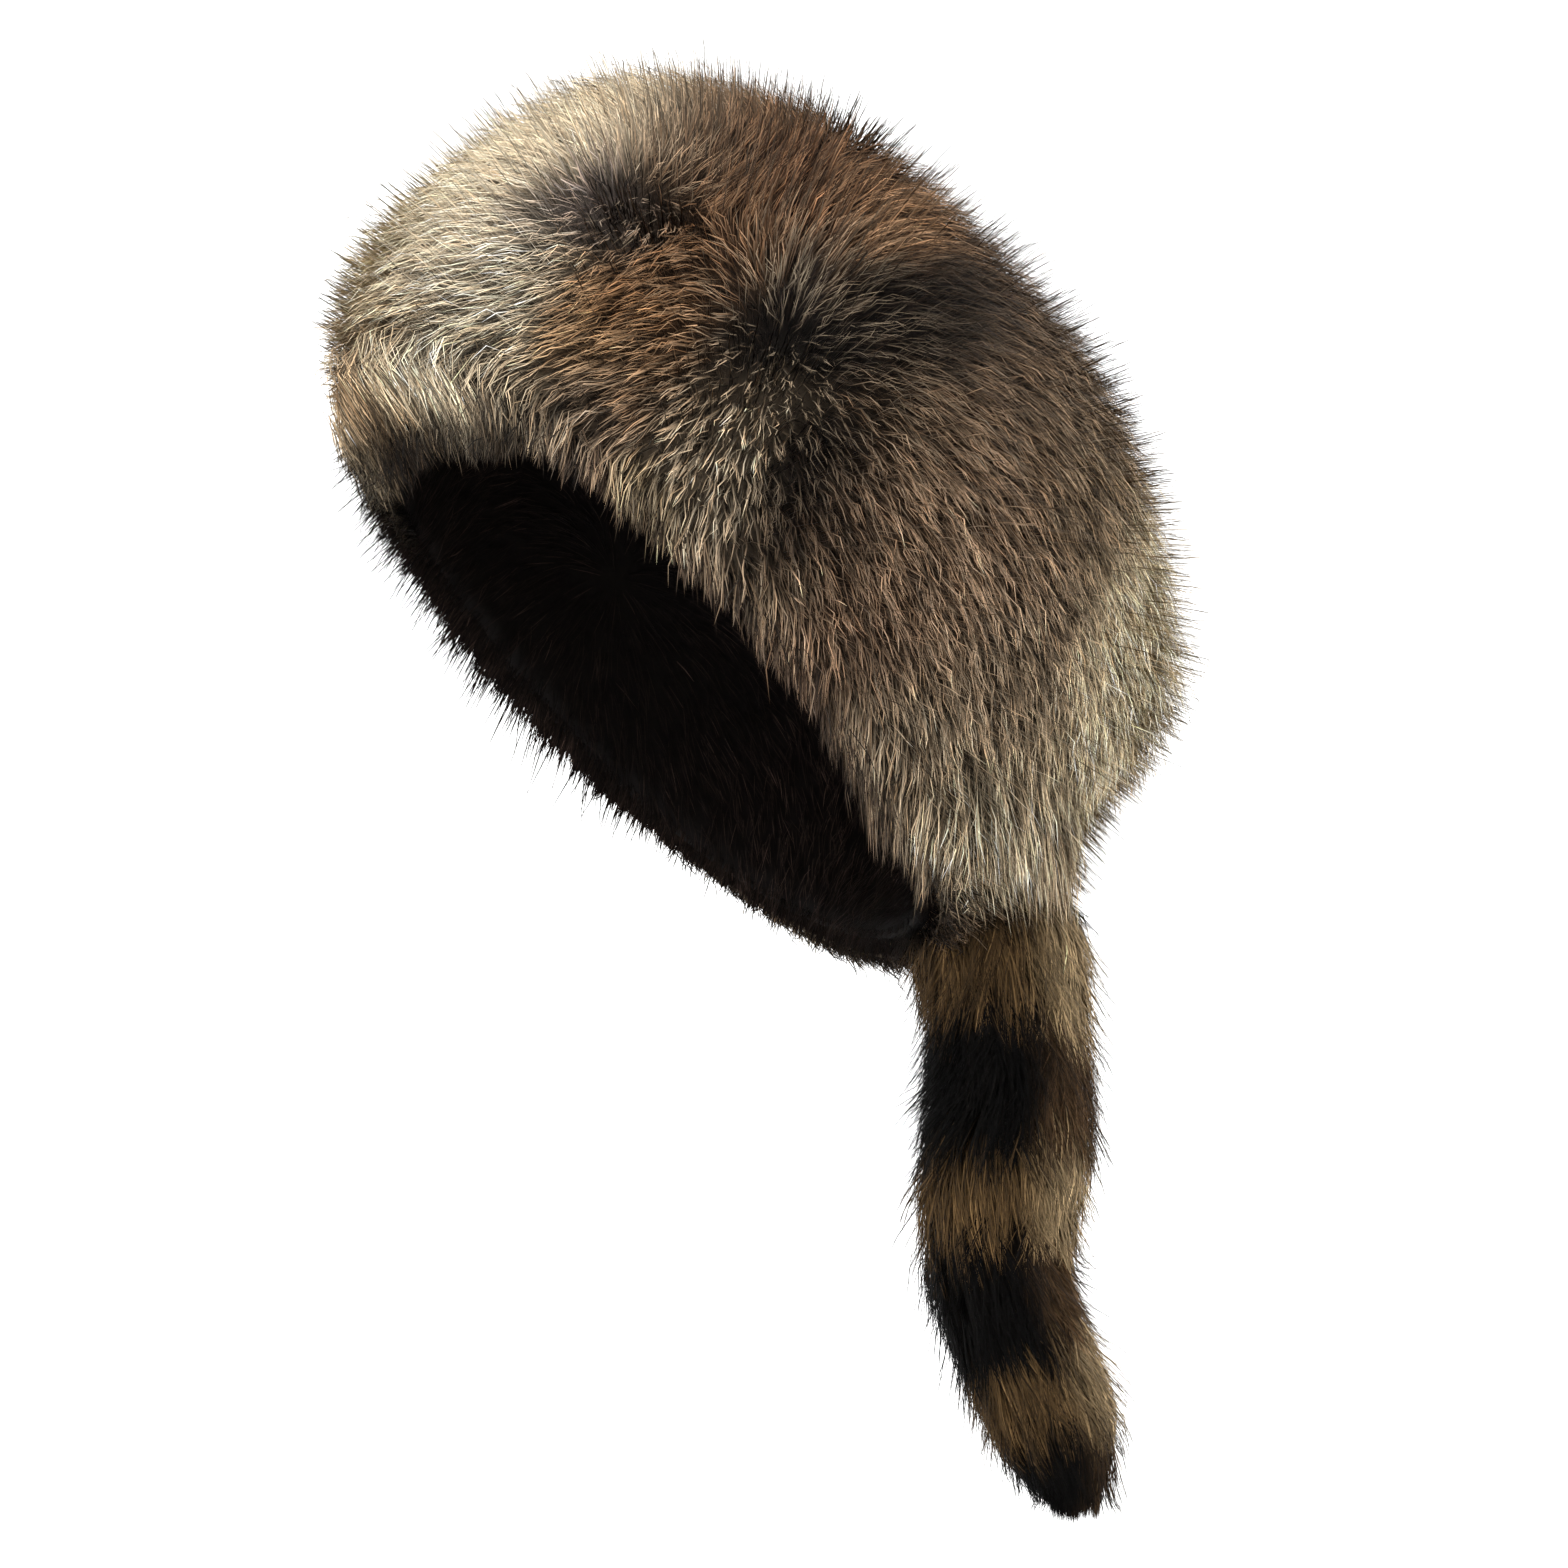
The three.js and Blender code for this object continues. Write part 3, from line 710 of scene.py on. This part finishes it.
# The pelt is painted darker than its hair, as shade under the hair.
paint(lining_pelt, np.tile(linear(LINING_FUR) * 0.3, (len(lining_points), 1)))
dress(lining_pelt, dark_coat, "lining")


def lining_hair(name, roots, length, lift, shade):
    """Short dark hair on the lining, combed from a whorl on the far side to the back, or hanging at the rim."""
    count = len(roots)
    inward = -dome_normal(roots, PELT_OUTSET)
    hanging = roots[:, 2] < 0
    flow = np.tile([0.0, 0.55, -0.5], (count, 1))
    away = roots - np.array(LINING_WHORL)
    distance = np.maximum(np.linalg.norm(away, axis=1), 1)
    flow += away * (1.6 * np.exp(-(distance / 55) ** 2) / distance)[:, None]
    flow = np.where(hanging[:, None], [[0.0, 0.45, -0.9]], flow)
    flow -= inward * ((flow * inward).sum(1) + 0.18 * hanging)[:, None]
    swing = np.stack([noise(roots, 2.0, salt) for salt in (21, 22, 23)], -1) * 0.22
    flow = unit(unit(flow) + swing + random.normal(0, 0.12, (count, 3)))
    rows = np.stack([roots + flow * (length * t)[:, None] + inward * (lift * h)[:, None]
                     for t, h in ((0, -0.2), (0.5, 0.7), (1.0, 1.0))], 1)
    for k in (1, 2):
        turn, climb = locate(rows[:, k], 0.0)
        inner = dome(turn, climb, PELT_OUTSET - lift * (0.7 if k == 1 else 1.0))
        keep = (rows[:, k, 2] <= 0) | hanging
        rows[:, k] = np.where(keep[:, None], rows[:, k], inner)
    normals = np.repeat(inward[:, None], 3, 1)
    side = unit(np.cross(normals, np.gradient(rows, axis=1)))
    tone = np.exp(random.normal(0, 0.55, count) + noise(roots, 2.0, 24) * 0.5) * shade
    # Each hair is darker at its root, as painted shade under the others.
    colours = (linear(LINING_FUR) * tone[:, None])[:, None] * np.array([0.3, 0.8, 1.2])[None, :, None]
    width = random.uniform(0.14, 0.22, count)[:, None] * np.array([1.0, 0.8, 0.0]) * THICKEN / 1000
    piece = strands(name, to_world(rows) / 1000, to_world(side), colours, width, to_world(normals))
    dress(piece, dark_coat, "lining")


def sample_lining(count):
    """Random roots, evenly spread over the lining."""
    turn = random.uniform(-math.pi, math.pi, count * 3)
    climb = random.uniform(0, math.pi / 2, count * 3)
    p = dome(turn, climb, PELT_OUTSET)
    a = dome(turn + 1e-3, climb, PELT_OUTSET) - p
    b = dome(turn, climb + 1e-3, PELT_OUTSET) - p
    area = np.linalg.norm(np.cross(a, b), axis=1)
    return p[random.uniform(0, 1, len(p)) < area / area.max()][:count]


LINING_COUNT, FRINGE_COUNT = ((22000, 17000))
pelt_roots = sample_lining(LINING_COUNT)
lower = smoothstep(pelt_roots[:, 1], 10, 80) * smoothstep(-pelt_roots[:, 0], -10, 60)
lining_hair("lining_hair", pelt_roots, random.uniform(9, 15, LINING_COUNT),
            random.uniform(1.6, 3.4, LINING_COUNT), 0.7 + 1.1 * lower)

# The lining's fringe at the rim, short at the back and at the front, with longer hairs on the far side.
edge_turn = random.uniform(-math.pi, math.pi, FRINGE_COUNT)
edge_roots = dome(edge_turn, np.zeros(FRINGE_COUNT), random.uniform(0.5, 7.4, FRINGE_COUNT)) + [0, 0, -0.8]
at_back = smoothstep(edge_roots[:, 1], -10, 60)
at_front = smoothstep(-edge_roots[:, 1], 50, 85) * smoothstep(edge_roots[:, 0], -45, -10)
tuft = (1 + noise(edge_roots, 1.5, 25) * 0.25) * (1 - 0.6 * at_back) * (1 - 0.8 * at_front)
longer = (random.uniform(0, 1, FRINGE_COUNT) < 0.16) & (edge_roots[:, 0] < 10)
reach = np.where(longer, random.uniform(1.3, 2.8, FRINGE_COUNT), 1.0)
lining_hair("lining_fringe", edge_roots, random.uniform(4, 10, FRINGE_COUNT) * tuft * reach,
            random.uniform(-2.5, 0.5, FRINGE_COUNT), np.full(FRINGE_COUNT, 1.3))

# Tail: a tapered core and long fur in rings, lying down along it.
line = np.array(TAIL_LINE, float)
line_z = line[::-1, 0]


def tail_centre(z):
    """Points of the tail's centre line at heights."""
    return np.stack([np.zeros_like(z), np.interp(z, line_z, line[::-1, 1]), z], -1)


def tail_radius(z):
    return np.interp(z, line_z, line[::-1, 2])


def tail_direction(z):
    return unit(tail_centre(z - 2) - tail_centre(z + 2))


# The core's share of the tail's radius, the lowest height of a hair, and the heights that hairs grow at.
CORE_SHARE, TAIL_TIP = 0.66, -231.0
ROOTS_LOW, ROOTS_HIGH = -217, -57
CORE_AROUND = 28
TAIL_FUR_LENGTH, TAIL_GROUP_RADIUS = 25, 22
# Tan and black of the tail's fur, and the paler tan and brown-black at its back, painted light falling on that
# side.
TAIL_TAN, TAIL_TAN_LIT = (88, 68, 43), (160, 137, 103)
TAIL_BLACK, TAIL_BLACK_LIT = (5, 4, 3), (80, 60, 40)


def tail_out(z, angle):
    """Unit directions from the tail's centre line, round it by an angle."""
    across = np.cross(tail_direction(z), [1.0, 0, 0])
    return np.cos(angle)[:, None] * [1.0, 0, 0] + np.sin(angle)[:, None] * across


core_z = np.linspace(-56, -216, 50)
core_angle = np.arange(CORE_AROUND) / CORE_AROUND * 2 * math.pi
core_rings = []
for z in core_z:
    zs = np.full(CORE_AROUND, z)
    radius = tail_radius(zs) * CORE_SHARE
    core_rings.append(tail_centre(zs) + radius[:, None] * tail_out(zs, core_angle))
core_points = np.concatenate(core_rings + [tail_centre(np.array([-219.0]))])


def ring_tone(z):
    """1 in a tan ring, 0 in a black one."""
    marks = np.array(TAIL_RINGS[::-1], float)
    return np.interp(z, marks[:, 0], marks[:, 1])


def tail_hue(p, z):
    """Linear colour of the tail's fur: both tones are painted paler at the back, as light falling on that side,
    where the black rings narrow.
    """
    back_light = smoothstep(p[:, 1] - tail_centre(p[:, 2])[:, 1], -4, 16)
    tone = np.maximum(ring_tone(z + 5 * back_light), ring_tone(z - 4 * back_light))[:, None]
    back_light = back_light[:, None]
    tan = linear(TAIL_TAN) * (1 - back_light) + linear(TAIL_TAN_LIT) * back_light
    black = linear(TAIL_BLACK) * (1 - back_light) + linear(TAIL_BLACK_LIT) * back_light
    return black * (1 - tone) + tan * tone


tail_core = mesh_object("tail_core", core_points / 1000, ring_faces(len(core_z), CORE_AROUND, True))
# The core is painted at a quarter of the fur's hue, as shade under the fur.
paint(tail_core, tail_hue(core_points, core_points[:, 2]) * 0.25)
dress(tail_core, tail_coat, "tail")


def around_tail(z, angle):
    """Points on a straight tube, for finding the lock that a hair is nearest to."""
    return np.stack([z, TAIL_GROUP_RADIUS * np.cos(angle), TAIL_GROUP_RADIUS * np.sin(angle)], -1)


def tail_fur(count, groups):
    """Long fur lying down along the tail in soft locks, with wisps that stand out."""
    z = random.uniform(ROOTS_LOW, ROOTS_HIGH, count)
    angle = random.uniform(0, 2 * math.pi, count)
    group_z = random.uniform(ROOTS_LOW, ROOTS_HIGH, groups)
    group_angle = random.uniform(0, 2 * math.pi, groups)
    owner = nearest(around_tail(z, angle), around_tail(group_z, group_angle))
    swing = (group_angle[owner] - angle + math.pi) % (2 * math.pi) - math.pi
    group_swirl = random.normal(0, 0.2, groups)
    group_length = random.uniform(0.85, 1.15, groups)
    loose = random.uniform(0, 1, count)
    clump = np.where(loose < 0.25, 0.0, random.uniform(0.3, 0.75, count))
    length = TAIL_FUR_LENGTH * group_length[owner] * random.uniform(0.75, 1.1, count)
    length = length * (0.55 + 0.45 * tail_radius(z) / 25)
    length = np.minimum(length, (z - TAIL_TIP) * random.uniform(0.75, 1.0, count))
    fullness = random.uniform(0.86, 1.08, count)
    wisp = np.where(loose < 0.2, random.uniform(2, 10, count), 0)
    fray = random.normal(0, 0.08, count)
    rows, normals = np.empty((count, STEPS, 3)), np.empty((count, STEPS, 3))
    for k, (t, h) in enumerate(((0, 0.0), (0.34, 0.6), (0.68, 0.88), (1.0, 1.0))):
        zk = z - length * t
        out = tail_out(zk, angle + (swing * clump + group_swirl[owner] + fray) * t)
        start = tail_radius(z) * CORE_SHARE - 1
        reach = start + (tail_radius(zk) * fullness - start) * h + wisp * t ** 1.5
        rows[:, k] = tail_centre(zk) + out * reach[:, None]
        normals[:, k] = out
    side = rolled(normals, rows, count)
    ring_z = z - length * 0.7 + random.normal(0, 2.4, count) + noise(rows[:, 0], 4, 31) * 4
    hue = tail_hue(rows[:, 2], ring_z)
    bright = np.exp(random.normal(0, 0.28, count) + 0.3 * random.normal(0, 1, groups)[owner]) * 1.04
    dark_tip = (random.uniform(0, 1, count) < 0.14) | (wisp > 0)
    # Each hair is darker at its root, as painted shade inside the fur.
    ladder = np.where(dark_tip[:, None], [[0.4, 0.7, 0.4, 0.12]], [[0.15, 0.5, 1.0, 1.2]])
    colours = hue[:, None] * bright[:, None, None] * ladder[:, :, None]
    # Painted shadow where the nape's fringe lies over the root of the tail.
    colours *= (0.25 + 0.75 * smoothstep(-rows[:, :, 2], 64, 76))[:, :, None]
    half = random.uniform(0.14, 0.24, count) * THICKEN
    width = half[:, None] * np.array([0.9, 1.0, 0.75, 0.0]) / 1000
    tilt = random.normal(0, 0.22, (count, 1, 3))
    piece = strands("tail_fur", rows / 1000, side, np.clip(colours, 0, 0.9), width, unit(normals + tilt))
    dress(piece, tail_coat, "tail")


tail_fur(27000, 700)

# The leather skin keeps its CAD solid, with a suede finish.
suede = bpy.data.materials.new("suede")
suede.use_nodes = True
nodes, links = suede.node_tree.nodes, suede.node_tree.links
suede_shader = nodes["Principled BSDF"]
suede_shader.inputs["Roughness"].default_value = 0.85
suede_grain = nodes.new("ShaderNodeTexNoise")
suede_grain.inputs["Scale"].default_value = 260
suede_ramp = nodes.new("ShaderNodeValToRGB")
suede_ramp.color_ramp.elements[0].color = (0.3, 0.2, 0.12, 1)
suede_ramp.color_ramp.elements[1].color = (0.5, 0.37, 0.24, 1)
links.new(suede_grain.outputs["Fac"], suede_ramp.inputs["Fac"])
links.new(suede_ramp.outputs["Color"], suede_shader.inputs["Base Color"])
suede_bump = nodes.new("ShaderNodeBump")
suede_bump.inputs["Strength"].default_value = 0.25
links.new(suede_grain.outputs["Fac"], suede_bump.inputs["Height"])
links.new(suede_bump.outputs["Normal"], suede_shader.inputs["Normal"])
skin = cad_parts["crown_skin"]
skin = skin if hasattr(skin, "material_slots") else bpy.data.objects["crown_skin"]
for slot in skin.material_slots:
    slot.material = suede

# Stage: a pale floor that sweeps up into a pale wall all round.
STAGE_FLOOR = -0.8
stage_profile = [(1.6, STAGE_FLOOR), (1.9, -0.79), (2.15, -0.74), (2.35, -0.62), (2.46, -0.45), (2.5, -0.2),
                 (2.5, 2.6)]
stage_rings = [np.stack([reach * np.cos(turns), reach * np.sin(turns), np.full(AROUND, height)], -1)
               for reach, height in stage_profile]
stage_points = np.concatenate(stage_rings + [[[0.0, 0.0, STAGE_FLOOR]]])
stage_faces = ring_faces(len(stage_rings), AROUND, False)
stage_faces += [((i + 1) % AROUND, i, len(stage_points) - 1) for i in range(AROUND)]
floor = mesh_object("studio_floor", stage_points, stage_faces)
pale = bpy.data.materials.new("pale_paper")
pale.use_nodes = True
pale_shader = pale.node_tree.nodes["Principled BSDF"]
pale_shader.inputs["Base Color"].default_value = (0.93, 0.93, 0.93, 1)
pale_shader.inputs["Roughness"].default_value = 0.9
pale_shader.inputs["Emission Color"].default_value = (1, 1, 1, 1)
pale_shader.inputs["Emission Strength"].default_value = 0.35
floor.data.materials.append(pale)

# Camera at the photograph's angle, a little below the cap on the wearer's left.
AZIMUTH, ELEVATION = math.radians(74), math.radians(-13)
right = Vector((math.cos(AZIMUTH), math.sin(AZIMUTH), 0))
toward = Vector((math.sin(AZIMUTH) * math.cos(ELEVATION), -math.cos(AZIMUTH) * math.cos(ELEVATION),
                 math.sin(ELEVATION)))
upward = toward.cross(right)
camera_data = bpy.data.cameras.new("camera")
camera_data.lens = 110
camera_data.sensor_width = 36
camera = bpy.data.objects.new("camera", camera_data)
bpy.context.scene.collection.objects.link(camera)
camera.matrix_world = Matrix((right, upward, toward)).transposed().to_4x4()
DISTANCE, SHIFT_RIGHT, SHIFT_DOWN = 1.3, 0.0377, 0.0347
camera.location = toward * DISTANCE + right * SHIFT_RIGHT - upward * SHIFT_DOWN
bpy.context.scene.camera = camera

middle = Vector((0, 0.02, 0.0))


def area_light(name, place, size, power):
    """A round soft light at a place, aimed at the middle of the cap."""
    data = bpy.data.lights.new(name, 'AREA')
    data.shape = 'DISK'
    data.size = size
    data.energy = power
    lamp = bpy.data.objects.new(name, data)
    lamp.location = place
    lamp.rotation_euler = (middle - place).to_track_quat('-Z', 'Y').to_euler()
    bpy.context.scene.collection.objects.link(lamp)


area_light("key", toward * 0.7 - right * 0.9 + Vector((0, 0, 1.3)), 0.7, 26)
area_light("back_edge", -toward * 0.5 + right * 1.3 + Vector((0, 0, 0.7)), 0.6, 16)
area_light("fill", toward * 1.4 + right * 0.5 + Vector((0, 0, 0.3)), 1.2, 4.5)

world = bpy.data.worlds.new("studio")
world.use_nodes = True
world.node_tree.nodes["Background"].inputs["Color"].default_value = (1, 1, 1, 1)
world.node_tree.nodes["Background"].inputs["Strength"].default_value = 0.5
bpy.context.scene.world = world
bpy.context.scene.view_settings.view_transform = "Standard"
